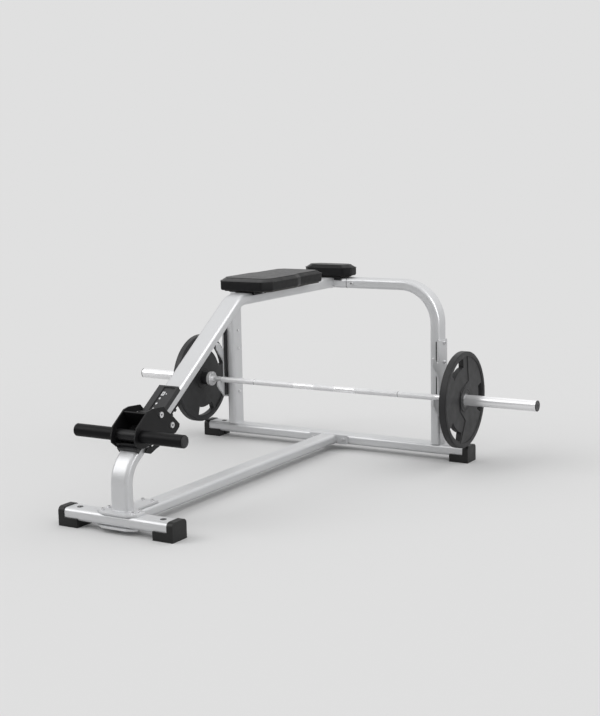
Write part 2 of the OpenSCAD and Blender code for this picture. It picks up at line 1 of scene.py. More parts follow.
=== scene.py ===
import json
import math

import bmesh
import bpy
import numpy as np
from mathutils import Matrix, Vector


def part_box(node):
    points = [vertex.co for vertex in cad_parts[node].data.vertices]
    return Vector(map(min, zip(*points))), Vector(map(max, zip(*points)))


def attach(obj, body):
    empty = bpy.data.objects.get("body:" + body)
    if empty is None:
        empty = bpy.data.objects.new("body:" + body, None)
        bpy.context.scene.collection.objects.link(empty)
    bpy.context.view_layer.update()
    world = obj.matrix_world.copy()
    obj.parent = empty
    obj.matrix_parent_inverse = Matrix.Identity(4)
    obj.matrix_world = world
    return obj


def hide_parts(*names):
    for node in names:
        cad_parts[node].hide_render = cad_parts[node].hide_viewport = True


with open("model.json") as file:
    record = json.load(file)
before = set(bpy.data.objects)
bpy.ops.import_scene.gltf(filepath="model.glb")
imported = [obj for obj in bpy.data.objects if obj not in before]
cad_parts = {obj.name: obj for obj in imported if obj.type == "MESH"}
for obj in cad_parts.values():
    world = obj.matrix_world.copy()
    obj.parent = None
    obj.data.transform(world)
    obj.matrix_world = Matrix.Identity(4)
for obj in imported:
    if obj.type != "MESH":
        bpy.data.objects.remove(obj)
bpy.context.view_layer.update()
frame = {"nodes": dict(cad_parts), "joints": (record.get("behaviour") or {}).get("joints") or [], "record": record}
NODES = frame["nodes"]
MM = 0.001
X, Y, Z = Vector((1, 0, 0)), Vector((0, 1, 0)), Vector((0, 0, 1))


# ---------------------------------------------------------------- places

def middle(node):
    low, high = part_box(node)
    return (Vector(low) + Vector(high)) / 2


def low_of(node):
    return Vector(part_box(node)[0])


def high_of(node):
    return Vector(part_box(node)[1])


BAR = middle("bar_shaft")
TUBE_TOP = high_of("front_crossbar").z
TUBE_W = high_of("front_crossbar").y - low_of("front_crossbar").y
TUBE_T = high_of("front_crossbar").z - low_of("front_crossbar").z
TUBE_R = 16 * MM
REAR_Y = middle("rear_crossbar").y
ARCH_Z = middle("arch_tee").z
JOINTS = {j["name"]: j for j in frame["joints"]}
SLOPE_DIR = Vector(JOINTS["carriage_slide"]["axis"]).normalized()
SLOPE_OUT = X.cross(SLOPE_DIR)


# ---------------------------------------------------------------- material nodes

class Shader:
    """A material's node tree, with short calls for what the finishes share."""

    def __init__(self, name, color, rough, metallic=0.0, specular=0.5):
        self.mat = bpy.data.materials.new(name)
        self.mat.use_nodes = True
        self.tree = self.mat.node_tree
        self.bsdf = self.tree.nodes["Principled BSDF"]
        self.bsdf.inputs["Metallic"].default_value = metallic
        self.bsdf.inputs["Specular IOR Level"].default_value = specular
        self.bsdf.inputs["Base Color"].default_value = (*color, 1)
        self.bsdf.inputs["Roughness"].default_value = rough
        self.painted = color
        self.normal = None
        self.coords = self.node("ShaderNodeTexCoord").outputs["Object"]

    def node(self, kind, **values):
        made = self.tree.nodes.new(kind)
        for key, value in values.items():
            setattr(made, key, value)
        return made

    def link(self, a, b):
        self.tree.links.new(a, b)

    def put(self, socket, value):
        if hasattr(value, "links"):
            self.link(value, socket)
        else:
            socket.default_value = value

    def math(self, op, a, b=0.0, c=0.0):
        made = self.node("ShaderNodeMath", operation=op)
        for socket, value in zip(made.inputs, (a, b, c)):
            self.put(socket, value)
        return made.outputs[0]

    def noise(self, scale, detail=3.0, rough=0.5, coords=None):
        made = self.node("ShaderNodeTexNoise")
        self.link(coords or self.coords, made.inputs["Vector"])
        made.inputs["Scale"].default_value = scale
        made.inputs["Detail"].default_value = detail
        made.inputs["Roughness"].default_value = rough
        return made.outputs["Fac"]

    def cells(self, scale, feature="F1"):
        made = self.node("ShaderNodeTexVoronoi", feature=feature)
        self.link(self.coords, made.inputs["Vector"])
        made.inputs["Scale"].default_value = scale
        return made.outputs["Distance"]

    def stretched(self, x, y, z):
        made = self.node("ShaderNodeMapping")
        self.link(self.coords, made.inputs["Vector"])
        made.inputs["Scale"].default_value = (x, y, z)
        return made.outputs["Vector"]

    def ramp(self, value, low, high, out_low=0.0, out_high=1.0):
        made = self.node("ShaderNodeMapRange")
        self.put(made.inputs["Value"], value)
        made.inputs["From Min"].default_value = low
        made.inputs["From Max"].default_value = high
        made.inputs["To Min"].default_value = out_low
        made.inputs["To Max"].default_value = out_high
        return made.outputs["Result"]

    def between(self, value, reach, soft):
        """One inside the reach, zero outside it, with soft ends."""
        start, end = reach
        rising = self.ramp(value, start, start + soft)
        return self.math("MULTIPLY", rising, self.ramp(value, end, end - soft))

    def mix(self, factor, a, b):
        made = self.node("ShaderNodeMix", data_type="RGBA")
        self.put(made.inputs["Factor"], factor)
        for socket, value in ((made.inputs[6], a), (made.inputs[7], b)):
            self.put(socket, value if hasattr(value, "links") else (*value, 1))
        return made.outputs[2]

    def edges(self, radius):
        """Rounds the shading of hard edges and returns a mask of where they are."""
        bevel = self.node("ShaderNodeBevel", samples=4)
        bevel.inputs["Radius"].default_value = radius
        self.normal = bevel.outputs["Normal"]
        geometry = self.node("ShaderNodeNewGeometry")
        dot = self.node("ShaderNodeVectorMath", operation="DOT_PRODUCT")
        self.link(bevel.outputs["Normal"], dot.inputs[0])
        self.link(geometry.outputs["True Normal"], dot.inputs[1])
        return self.ramp(dot.outputs["Value"], 0.99, 0.85)

    def bump(self, height, distance, strength=1.0):
        made = self.node("ShaderNodeBump")
        made.inputs["Distance"].default_value = distance
        made.inputs["Strength"].default_value = strength
        self.link(height, made.inputs["Height"])
        if self.normal is not None:
            self.link(self.normal, made.inputs["Normal"])
        self.normal = made.outputs["Normal"]

    def vary_color(self, factor, other):
        self.painted = self.mix(factor, self.painted, other)

    def vary_rough(self, factor, low, high):
        self.link(self.ramp(factor, 0.3, 0.7, low, high), self.bsdf.inputs["Roughness"])

    def done(self):
        if hasattr(self.painted, "links"):
            self.link(self.painted, self.bsdf.inputs["Base Color"])
        if self.normal is not None:
            self.link(self.normal, self.bsdf.inputs["Normal"])
        return self.mat


def shade(color, factor):
    return tuple(min(1.0, c * factor) for c in color)


def silver_paint():
    """Metallic powder coat with a faint flake and a painted highlight along its edges."""
    color = (0.64, 0.645, 0.655)
    s = Shader("silver_powder_coat", color, 0.38, metallic=0.45, specular=0.5)
    edge = s.edges(1.6 * MM)
    s.vary_color(s.ramp(s.noise(3.0), 0.35, 0.65), shade(color, 0.95))
    s.vary_color(s.ramp(s.cells(2600.0), 0.15, 0.4, 0.0, 0.25), shade(color, 1.12))
    # Painted highlight: every hard edge is made a little lighter.
    s.vary_color(s.math("MULTIPLY", edge, 0.35), shade(color, 1.15))
    s.vary_rough(s.noise(22.0), 0.34, 0.42)
    s.bump(s.noise(900.0, detail=2.0), 0.00012, 0.35)
    return s.done()


def black_paint():
    """Black powder coat, chipped to primer here and there along its edges."""
    color = (0.006, 0.006, 0.0065)
    s = Shader("black_powder_coat", color, 0.4, specular=0.22)
    edge = s.edges(1.2 * MM)
    s.vary_color(s.ramp(s.noise(9.0), 0.35, 0.7), shade(color, 1.5))
    chips = s.math("MULTIPLY", edge, s.ramp(s.noise(160.0, detail=5.0), 0.5, 0.75))
    s.vary_color(s.math("MULTIPLY", chips, 0.5), (0.09, 0.09, 0.09))
    s.vary_rough(s.noise(30.0), 0.31, 0.43)
    s.bump(s.noise(700.0, detail=2.0), 0.00015, 0.4)
    return s.done()


def zinc():
    """Bright plated fasteners with a little staining."""
    color = (0.80, 0.80, 0.81)
    s = Shader("zinc_plate", color, 0.26, metallic=0.8)
    edge = s.edges(0.6 * MM)
    s.vary_color(s.ramp(s.noise(120.0, detail=4.0), 0.4, 0.7), shade(color, 0.8))
    # Painted highlight: every hard edge is lightened toward pale grey.
    s.vary_color(s.math("MULTIPLY", edge, 0.3), (0.9, 0.9, 0.9))
    s.vary_rough(s.noise(300.0), 0.2, 0.36)
    s.bump(s.noise(1500.0, detail=1.0), 0.00005, 0.5)
    return s.done()


def moulded(name, color, low, high, grain, depth, radius=1.5 * MM, specular=0.45):
    """Dark plastic or rubber: low and high are its roughness, grain and depth its texture."""
    s = Shader(name, color, (low + high) / 2, specular=specular)
    edge = s.edges(radius)
    s.vary_color(s.ramp(s.noise(7.0, detail=5.0), 0.4, 0.75), shade(color, 1.7))
    # Painted highlight: every hard edge is made lighter.
    s.vary_color(s.math("MULTIPLY", edge, 0.3), shade(color, 2.4))
    s.vary_rough(s.noise(26.0, detail=4.0), low, high)
    s.bump(s.noise(grain, detail=2.0), depth, 0.6)
    return s.done()


def board():
    """Dark stained plywood with its grain along the bench."""
    color = (0.02, 0.018, 0.016)
    s = Shader("stained_board", color, 0.6)
    grain = s.noise(30.0, detail=6.0, coords=s.stretched(12.0, 1.0, 12.0))
    s.edges(1.0 * MM)
    s.vary_color(s.ramp(grain, 0.35, 0.7), (0.045, 0.038, 0.03))
    s.vary_rough(grain, 0.5, 0.7)
    s.bump(grain, 0.0003, 0.5)
    return s.done()


def vinyl():
    """Charcoal upholstery vinyl: pebbled grain with fine creases, with a painted highlight that makes its upward
    faces paler.
    """
    color = (0.006, 0.006, 0.0065)
    s = Shader("pad_vinyl", color, 0.42, specular=0.2)
    s.bsdf.inputs["Sheen Weight"].default_value = 0.1
    s.bsdf.inputs["Sheen Roughness"].default_value = 0.35
    pebble = s.cells(620.0, feature="SMOOTH_F1")
    crease = s.noise(240.0, detail=5.0, rough=0.6)
    # Painted highlight: faces that point up are made paler, as if lit from above.
    upward = s.node("ShaderNodeSeparateXYZ")
    s.link(s.node("ShaderNodeNewGeometry").outputs["Normal"], upward.inputs[0])
    s.vary_color(s.ramp(upward.outputs[2], 0.8, 0.99), (0.08, 0.08, 0.081))
    s.vary_color(s.math("MULTIPLY", s.ramp(pebble, 0.25, 0.6), 0.4), shade(color, 0.7))
    s.vary_color(s.ramp(s.noise(14.0, detail=3.0), 0.4, 0.75, 0.0, 0.2), shade(color, 1.5))
    s.vary_rough(s.noise(45.0, detail=4.0), 0.4, 0.54)
    s.bump(pebble, 0.0005, 0.35)
    s.bump(crease, 0.0003, 0.3)
    return s.done()


KNURL_PITCH, KNURL_LINES = 5200.0, 36.0
HAND_KNURL = (170 * MM, 600 * MM)
CENTRE_KNURL = 60 * MM
GRIP_MARK = (401 * MM, 408 * MM)
SHAFT_REACH = 16.5 * MM


def chrome():
    """Hard chrome, knurled where hands hold it and ringed at the grip marks."""
    color = (0.92, 0.92, 0.93)
    s = Shader("bar_chrome", color, 0.23, metallic=0.5)
    split = s.node("ShaderNodeSeparateXYZ")
    s.link(s.coords, split.inputs[0])
    x, y, z = split.outputs
    rise = s.math("SUBTRACT", z, BAR.z)
    turn = s.math("ARCTAN2", rise, s.math("SUBTRACT", y, BAR.y))
    along = s.math("MULTIPLY", x, KNURL_PITCH)
    around = s.math("MULTIPLY", turn, KNURL_LINES)
    one = s.math("SINE", s.math("ADD", along, around))
    two = s.math("SINE", s.math("SUBTRACT", along, around))
    points = s.math("ADD", s.math("MAXIMUM", one, 0.0), s.math("MAXIMUM", two, 0.0))
    side = s.math("ABSOLUTE", x)
    hands = s.between(side, HAND_KNURL, 2 * MM)
    centre = s.ramp(side, CENTRE_KNURL, CENTRE_KNURL - 2 * MM)
    ring = s.between(side, GRIP_MARK, 1 * MM)
    knurled = s.math("SUBTRACT", s.math("MAXIMUM", hands, centre), ring)
    on_shaft = s.ramp(s.math("ABSOLUTE", rise), SHAFT_REACH + 1 * MM, SHAFT_REACH)
    knurled = s.math("MULTIPLY", knurled, on_shaft)
    s.vary_color(s.math("MULTIPLY", knurled, 0.3), shade(color, 0.7))
    s.vary_color(s.math("MULTIPLY", ring, 0.7), shade(color, 0.45))
    s.vary_color(s.ramp(s.noise(60.0, detail=4.0), 0.45, 0.8, 0.0, 0.2), shade(color, 0.88))
    rough = s.ramp(s.noise(80.0, detail=4.0, coords=s.stretched(0.3, 3.0, 3.0)), 0.3, 0.7, 0.21, 0.25)
    s.link(s.math("ADD", rough, s.math("MULTIPLY", knurled, 0.2)), s.bsdf.inputs["Roughness"])
    s.bump(s.math("MULTIPLY", points, knurled), 0.0003, 0.5)
    return s.done()


def bronze():
    """Plain bearing bronze inside the sleeves."""
    color = (0.62, 0.42, 0.18)
    s = Shader("bearing_bronze", color, 0.3, metallic=1.0)
    s.vary_color(s.noise(90.0), shade(color, 0.7))
    s.vary_rough(s.noise(200.0), 0.25, 0.4)
    s.bump(s.noise(800.0), 0.0001, 0.3)
    return s.done()


TURNED_RINGS = 9000.0


def turned_steel():
    """Blackened steel with rings around the bar's axis, as a lathe leaves them."""
    color = (0.075, 0.075, 0.078)
    s = Shader("turned_steel", color, 0.34, metallic=0.6)
    split = s.node("ShaderNodeSeparateXYZ")
    s.link(s.coords, split.inputs[0])
    y = s.math("SUBTRACT", split.outputs[1], BAR.y)
    z = s.math("SUBTRACT", split.outputs[2], BAR.z)
    radius = s.math("SQRT", s.math("ADD", s.math("MULTIPLY", y, y), s.math("MULTIPLY", z, z)))
    rings = s.math("SINE", s.math("MULTIPLY", radius, TURNED_RINGS))
    s.vary_color(s.ramp(s.noise(50.0), 0.4, 0.7), shade(color, 0.8))
    s.vary_rough(s.noise(120.0), 0.22, 0.36)
    s.bump(rings, 0.00005, 0.5)
    return s.done()


def coated_iron():
    """Charcoal coating with a fine pebble, lighter mottling and a painted highlight along its edges."""
    color = (0.018, 0.018, 0.019)
    s = Shader("plate_coating", color, 0.5, specular=0.4)
    edge = s.edges(2.0 * MM)
    s.vary_color(s.ramp(s.noise(6.0, detail=5.0), 0.4, 0.75), shade(color, 1.45))
    # Painted highlight: every hard edge is made lighter.
    s.vary_color(s.math("MULTIPLY", edge, 0.35), shade(color, 2.2))
    s.vary_rough(s.noise(24.0, detail=4.0), 0.42, 0.58)
    s.bump(s.noise(520.0, detail=3.0), 0.0003, 0.5)
    return s.done()


FINISHES = {
    "silver_paint": silver_paint(),
    "black_paint": black_paint(),
    "bolt_zinc": zinc(),
    "guard_plastic": moulded("guard_plastic", (0.012, 0.012, 0.013), 0.38, 0.5, 900.0, 0.0002),
    "foot_rubber": moulded("foot_rubber", (0.009, 0.009, 0.009), 0.42, 0.56, 420.0, 0.0004, 4 * MM, 0.35),
    "grip_rubber": moulded("grip_rubber", (0.005, 0.005, 0.0055), 0.36, 0.48, 650.0, 0.0002, specular=0.12),
    "board_ply": board(),
    "pad_vinyl": vinyl(),
    "bar_chrome": chrome(),
    "bushing_brass": bronze(),
    "hub_steel": moulded("hub_black", (0.018, 0.018, 0.019), 0.3, 0.42, 700.0, 0.0001),
    "plate_coated_iron": coated_iron(),
    "ring_steel": turned_steel(),
}


def finish_frame():
    for part in frame["record"]["subparts"]:
        mesh = NODES[part["node"]].data
        mesh.materials.clear()
        mesh.materials.append(FINISHES[part["material_slot"]])


# ---------------------------------------------------------------- mesh helpers

def add_object(name, mesh, slot, body=None, smooth=True):
    piece = bpy.data.objects.new(name, mesh)
    bpy.context.scene.collection.objects.link(piece)
    mesh.materials.append(FINISHES[slot])
    for face in mesh.polygons:
        face.use_smooth = smooth
    if body:
        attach(piece, body)
    return piece


def mesh_from(name, points, faces):
    mesh = bpy.data.meshes.new(name)
    mesh.from_pydata([tuple(p) for p in points], [], faces)
    mesh.update()
    return mesh


def loft(name, rings):
    """Skin over rings of equal length, closed at both ends."""
    count = len(rings[0])
    points = [p for ring in rings for p in ring]
    faces = []
    for r in range(len(rings) - 1):
        for k in range(count):
            a, b = r * count + k, r * count + (k + 1) % count
            faces.append((a, b, b + count, a + count))
    faces.append(tuple(range(count))[::-1])
    faces.append(tuple(range((len(rings) - 1) * count, len(rings) * count)))
    return mesh_from(name, points, faces)


def swept(name, path, radius, sides=8):
    """Round bead along a closed path of points."""
    count = len(path)
    points, faces = [], []
    for k, here in enumerate(path):
        along = (path[(k + 1) % count] - path[k - 1]).normalized()
        side = along.cross(Z) if abs(along.z) < 0.9 else along.cross(X)
        side.normalize()
        up = side.cross(along)
        for j in range(sides):
            turn = 2 * math.pi * j / sides
            points.append(here + radius * (math.cos(turn) * side + math.sin(turn) * up))
    for k in range(count):
        n = (k + 1) % count
        for j in range(sides):
            m = (j + 1) % sides
            faces.append((k * sides + j, k * sides + m, n * sides + m, n * sides + j))
    return mesh_from(name, points, faces)


def oval(center, along_a, along_b, half_a, half_b, radius, steps=6):
    """Rounded rectangle of points in the plane of two directions."""
    points = []
    for quarter, (sa, sb) in enumerate(((1, 1), (-1, 1), (-1, -1), (1, -1))):
        corner = Vector(center) + sa * (half_a - radius) * along_a + sb * (half_b - radius) * along_b
        for k in range(steps + 1):
            turn = (quarter + k / steps) * math.pi / 2
            points.append(corner + radius * (math.cos(turn) * along_a + math.sin(turn) * along_b))
    return points


# ---------------------------------------------------------------- pads

RING_STEPS = 10
VOXEL = 4 * MM
SWELL_CAP = 2.5 * MM
SWELL_FRAMES = 20
SEAM_R = 1.3 * MM
CHEST_STEP_IN = 13 * MM
CHEST_WAIST, CHEST_TAPER = 262 * MM, 46 * MM
CHEST_NOSE_X, CHEST_NOSE_Y = 32 * MM, 48 * MM
CHEST_CORNER, HEAD_CORNER, HEAD_BACK_CORNER = 24 * MM, 30 * MM, 25 * MM


def mirrored(right):
    """Closed outline from its right half, front to back."""
    return right + [(-x, y) for x, y in reversed(right)]


def chest_outline(inset, front_inset):
    """Wide at the chest, stepped in behind it, with cut corners."""
    low, high = low_of("chest_pad"), high_of("chest_pad")
    wide = high.x - inset
    narrow = wide - CHEST_STEP_IN
    front, back = low.y + front_inset, high.y - inset
    waist = low.y + CHEST_WAIST
    return mirrored([
        (wide - CHEST_NOSE_X + inset * 0.3, front),
        (wide, low.y + CHEST_NOSE_Y + inset),
        (wide, waist),
        (narrow, waist + CHEST_TAPER),
        (narrow, back - CHEST_CORNER),
        (narrow - CHEST_CORNER, back),
    ])


def head_outline(inset, front_inset):
    """Rectangle with cut corners."""
    low, high = low_of("head_pad"), high_of("head_pad")
    wide = high.x - inset * 1.3
    front, back = low.y + front_inset, high.y - inset
    return mirrored([
        (wide - HEAD_CORNER, front),
        (wide, front + HEAD_CORNER),
        (wide, back - HEAD_BACK_CORNER),
        (wide - HEAD_CORNER, back),
    ])


def refine(points, step):
    """Points along a closed outline at an even spacing, so that its rings match."""
    result = []
    for k, (x, y) in enumerate(points):
        nx, ny = points[(k + 1) % len(points)]
        for j in range(step):
            t = j / step
            result.append((x + (nx - x) * t, y + (ny - y) * t))
    return result


def near_outline(points, outline, reach):
    """Which points lie within reach of a closed outline, seen from above."""
    corners = np.array(outline)
    nearest = np.full(len(points), np.inf)
    for start, end in zip(corners, np.roll(corners, -1, axis=0)):
        side = end - start
        along = np.clip((points - start) @ side / (side @ side), 0.0, 1.0)
        nearest = np.minimum(nearest, np.linalg.norm(points - start - along[:, None] * side, axis=1))
    return nearest < reach


def seamed(points, low, high, side, top_edge):
    """Vertices that can't swell: the flat underside and both seams."""
    bottom = points[:, 2] < low.z + 5 * MM
    shoulder = np.abs(points[:, 2] - low.z - side) < 2.5 * MM
    top = (points[:, 2] > high.z - 3 * MM) & near_outline(points[:, :2], top_edge, 4 * MM)
    return np.where(bottom | shoulder | top)[0]


def coordinates(mesh):
    flat = np.empty(len(mesh.vertices) * 3)
    mesh.vertices.foreach_get("co", flat)
    return flat.reshape(-1, 3)


def swell(pad, held_points, cap):
    """Inflates the vinyl a little over its foam, between the seams that hold it."""
    start = coordinates(pad.data)
    held = pad.vertex_groups.new(name="held")
    held.add([int(i) for i in held_points], 1.0, "REPLACE")
    cloth = pad.modifiers.new("Cloth", "CLOTH")
    cloth.settings.quality = 5
    cloth.settings.mass = 0.4
    cloth.settings.tension_stiffness = 40
    cloth.settings.compression_stiffness = 40
    cloth.settings.bending_stiffness = 6
    cloth.settings.use_pressure = True
    cloth.settings.uniform_pressure_force = 4
    cloth.settings.vertex_group_mass = "held"
    cloth.settings.effector_weights.gravity = 0
    scene = bpy.context.scene
    for number in range(1, SWELL_FRAMES + 1):
        scene.frame_set(number)
    graph = bpy.context.evaluated_depsgraph_get()
    move = coordinates(pad.evaluated_get(graph).to_mesh()) - start
    size = np.linalg.norm(move, axis=1, keepdims=True)
    move *= np.minimum(1.0, cap / np.maximum(size, 1e-9))
    pad.modifiers.remove(cloth)
    pad.vertex_groups.clear()
    scene.frame_set(1)
    pad.data.vertices.foreach_set("co", (start + move).ravel())
    pad.data.update()


def apply_modifiers(piece):
    graph = bpy.context.evaluated_depsgraph_get()
    mesh = bpy.data.meshes.new_from_object(piece.evaluated_get(graph))
    piece.modifiers.clear()
    piece.data = mesh
    for face in mesh.polygons:
        face.use_smooth = True


def pad_skin(name, low, high, outline, side, bevel, front_bevel, crown, skin):
    """Upright sides, a sloped shoulder and a crowned top, as (height, inset, front inset) levels."""
    shoulder = low.z + side
    levels = [
        (low.z, 5 * MM, 5 * MM),
        (low.z + 2 * MM, 1.5 * MM, 1.5 * MM),
        (low.z + 6 * MM, 0.0, 0.0),
        (shoulder - 1 * MM, 0.0, 0.0),
        (shoulder, 0.4 * MM, 0.6 * MM),
        (high.z - 1 * MM, bevel - 1 * MM, front_bevel - 1.5 * MM),
        (high.z, bevel + 2 * MM, front_bevel + 3 * MM),
        (high.z + crown * 0.75, bevel + 12 * MM, front_bevel + 14 * MM),
        (high.z + crown, bevel + 24 * MM, front_bevel + 24 * MM),
    ]
    rings = []
    for z, inset, front_inset in levels:
        ring = refine(outline(inset + skin, front_inset + skin), RING_STEPS)
        rings.append([Vector((x, y, z)) for x, y in ring])
    return loft(name, rings)


def make_pad(name, node, outline, side, bevel, front_bevel, crown, skin):
    """Foam pad under vinyl, swollen between its seams, with a bead along each seam."""
    low, high = low_of(node), high_of(node)
    mesh = pad_skin(name, low, high, outline, side, bevel, front_bevel, crown, skin)
    pad = add_object(name, mesh, "pad_vinyl")
    remesh = pad.modifiers.new("Remesh", "REMESH")
    remesh.mode = "VOXEL"
    remesh.voxel_size = VOXEL
    apply_modifiers(pad)
    top_edge = outline(bevel + skin, front_bevel + skin)
    swell(pad, seamed(coordinates(pad.data), low, high, side, top_edge), SWELL_CAP)
    ease = pad.modifiers.new("Smooth", "SMOOTH")
    ease.factor = 0.5
    ease.iterations = 1
    finer = pad.modifiers.new("Subdivision", "SUBSURF")
    finer.levels = 1
    finer.render_levels = 1
    apply_modifiers(pad)
    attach(pad, "frame")
    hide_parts(node)
    shoulder_edge = outline(skin, skin)
    for word, edge, z in (("shoulder", shoulder_edge, low.z + side), ("top", top_edge, high.z - 0.6 * MM)):
        path = [Vector((x, y, z)) for x, y in refine(edge, RING_STEPS)]
        seam = f"{name}_{word}_seam"
        add_object(seam, swept(seam, path, SEAM_R), "pad_vinyl", "frame")


# ---------------------------------------------------------------- small details

WELD_R = 2.2 * MM


def weld(name, center, along_a, along_b, half_a, half_b):
    path = oval(center, along_a, along_b, half_a, half_b, TUBE_R)
    add_object(name, swept(name, path, WELD_R), "silver_paint", "frame")


def welds():
    """Beads round the feet of the uprights, the post, the spine's end and the beam's end."""
    half_w, half_t = TUBE_W / 2, TUBE_T / 2
    spine_low = low_of("spine_tube")
    post_y = spine_low.y + half_t
    weld("weld_post", (0, post_y, high_of("post_base_plate").z + 0.8 * MM), X, Y, half_w, half_t)
    upright_x = high_of("arch_right").x - half_t
    for side, word in ((1, "right"), (-1, "left")):
        weld(f"weld_upright_{word}", (side * upright_x, REAR_Y, TUBE_TOP + 0.5 * MM), Y, X, half_w, half_t)
    weld("weld_spine_end", (0, high_of("spine_tube").y - 0.8 * MM, ARCH_Z), X, Z, half_w, half_t)
    weld("weld_beam_end", (0, low_of("beam_flange").y - 0.8 * MM, TUBE_TOP - half_t), X, Z, half_w, half_t)


def arch_joints():
    """Dark shadow gap where each half of the arch meets the middle piece."""
    joint_x = low_of("arch_right").x
    for side, word in ((1, "right"), (-1, "left")):
        name = f"arch_joint_{word}"
        path = oval((side * joint_x, REAR_Y, ARCH_Z), Y, Z, TUBE_W / 2, TUBE_T / 2, TUBE_R)
        add_object(name, swept(name, path, 1.2 * MM), "guard_plastic", "frame")


def on_rail(x, along, off):
    """Point on the guide rail: x across, along up the slope from its low end."""
    return Vector((x, RAIL_FOOT.y, RAIL_FOOT.z)) + along * SLOPE_DIR + off * SLOPE_OUT


def rail_reference():
    """Low end of the rail's top face, found from its vertices."""
    points = np.array([v.co[:] for v in NODES["guide_rail"].data.vertices])
    along = points @ np.array(SLOPE_DIR)
    off = points @ np.array(SLOPE_OUT)
    return Vector(np.array(SLOPE_DIR) * along.min() + np.array(SLOPE_OUT) * off.max())


RAIL_FOOT = rail_reference()


STUD_X, STUD_START, STUD_PITCH, STUD_R = -7 * MM, 226 * MM, 29.5 * MM, 4.2 * MM
GROOVE_FLOOR = -4 * MM
WINDOW_X, WINDOW_FROM_TOP = -4 * MM, 44 * MM


def rail_marks():
    """Small pale studs beside the groove, one for each height position."""
    for k in range(3):
        center = on_rail(STUD_X, STUD_START + STUD_PITCH * k, GROOVE_FLOOR)
        bm = bmesh.new()
        bmesh.ops.create_uvsphere(bm, u_segments=24, v_segments=12, radius=STUD_R)
        turn = Matrix((X, SLOPE_DIR, SLOPE_OUT)).transposed().to_4x4()
        flat = Matrix.Diagonal((1.0, 1.35, 0.35, 1.0))
        bm.transform(Matrix.Translation(center) @ turn @ flat)
        mesh = bpy.data.meshes.new(f"rail_stud_{k + 1}")
        bm.to_mesh(mesh)
        bm.free()
        add_object(f"rail_stud_{k + 1}", mesh, "bolt_zinc", "frame")


def revolved(name, profile, center, axes, slot, body, sides):
    """Ring from (distance along the axis, radius) pairs; axes are two across it and the axis."""
    across_a, across_b, axis = axes
    count = len(profile)
    points, faces = [], []
    for j in range(sides):
        turn = 2 * math.pi * j / sides
        out = math.cos(turn) * across_a + math.sin(turn) * across_b
        points += [Vector(center) + off * axis + r * out for off, r in profile]
        for k in range(count):
            m, n = (k + 1) % count, ((j + 1) % sides) * count
            faces.append((j * count + k, j * count + m, n + m, n + k))
    return add_object(name, mesh_from(name, points, faces), slot, body)


def lathe(name, profile, center, slot, body):
    """Ring about a line along X."""
    return revolved(name, profile, center, (Y, Z, X), slot, body, 96)


def ridge(name, x, facing, radius, width, height, slot, body):
    """Low rounded ridge that stands on a face across the bar."""
    half, sunk = width / 2, -1.0 * MM
    shape = [(sunk, radius - half), (height * 0.5, radius - half), (height, radius - half * 0.5),
             (height, radius + half * 0.5), (height * 0.5, radius + half), (sunk, radius + half)]
    profile = [(facing * off, r) for off, r in shape]
    return lathe(name, profile, (x, BAR.y, BAR.z), slot, body)


HUB_RIDGE, BORE_RIDGE, RIM_RIDGE = (52 * MM, 6 * MM), (40 * MM, 3 * MM), (211 * MM, 5 * MM)
RIDGE_H = 0.9 * MM


def plate_relief():
    """Turned ridges round the hub and inside the rim, on both faces of each plate."""
    for word in ("left", "right"):
        low, high = low_of(f"plate_{word}").x, high_of(f"plate_{word}").x
        body = f"weight_{word}"
        for face, x, facing in (("inner", low, -1), ("outer", high, 1)):
            for k, (radius, width) in enumerate((HUB_RIDGE, BORE_RIDGE, RIM_RIDGE)):
                name = f"plate_{word}_{face}_ridge_{k + 1}"
                ridge(name, x, facing, radius, width, RIDGE_H, "plate_coated_iron", body)


def sleeve_trim():
    """Rim on each sleeve's end plug and a stepped edge on each collar."""
    for word, facing in (("left", -1), ("right", 1)):
        low, high = low_of(f"sleeve_end_{word}").x, high_of(f"sleeve_end_{word}").x
        end = high if facing > 0 else low
        body = f"sleeve_{word}_turning"
        ridge(f"sleeve_{word}_end_rim", end, facing, 22.5 * MM, 4 * MM, 0.8 * MM, "hub_steel", body)
        ridge(f"sleeve_{word}_end_dimple", end, facing, 7 * MM, 3 * MM, 0.6 * MM, "hub_steel", body)
        low, high = low_of(f"sleeve_{word}").x, high_of(f"sleeve_{word}").x
        collar = low if facing > 0 else high
        ridge(f"collar_{word}_step", collar, -facing, 31 * MM, 4 * MM, RIDGE_H, "bar_chrome", body)


def foot_bar_trim():
    """Moulded ring on each end of the foot bar."""
    center = middle("foot_tube")
    for word, facing in (("left", -1), ("right", 1)):
        end = high_of("foot_end_caps").x if facing > 0 else low_of("foot_end_caps").x
        shape = [(-1.0 * MM, 14 * MM), (0.8 * MM, 15 * MM), (0.8 * MM, 18 * MM), (-1.0 * MM, 19 * MM)]
        profile = [(facing * off, r) for off, r in shape]
        lathe(f"foot_bar_{word}_ring", profile, (end, center.y, center.z), "guard_plastic", "carriage")


def flat_ring(name, center, inner, outer, height, slot, body):
    """Thin washer lying flat, with a softened top edge."""
    sunk, soft = -0.5 * MM, 1 * MM
    profile = [(sunk, inner), (height * 0.6, inner), (height, inner + soft), (height, outer - soft),
               (height * 0.4, outer), (sunk, outer)]
    return revolved(name, profile, center, (X, Y, Z), slot, body, 64)


def anchor_rings():
    """Black grommets in the anchor holes on top of both crossbars."""
    mounts = {m["name"]: m for m in frame["record"]["mounts"]}
    for word in ("front", "rear"):
        mount = mounts[f"anchors_{word}"]
        half = mount["dims"]["spacing_x_mm"] / 2 * MM
        hole = mount["dims"]["hole_r_mm"] * MM
        for side, name in ((-1, "left"), (1, "right")):
            center = (side * half, mount["pos_m"][1], TUBE_TOP)
            ring = f"anchor_ring_{word}_{name}"
            flat_ring(ring, center, hole, hole + 4 * MM, 1.2 * MM, "guard_plastic", "frame")


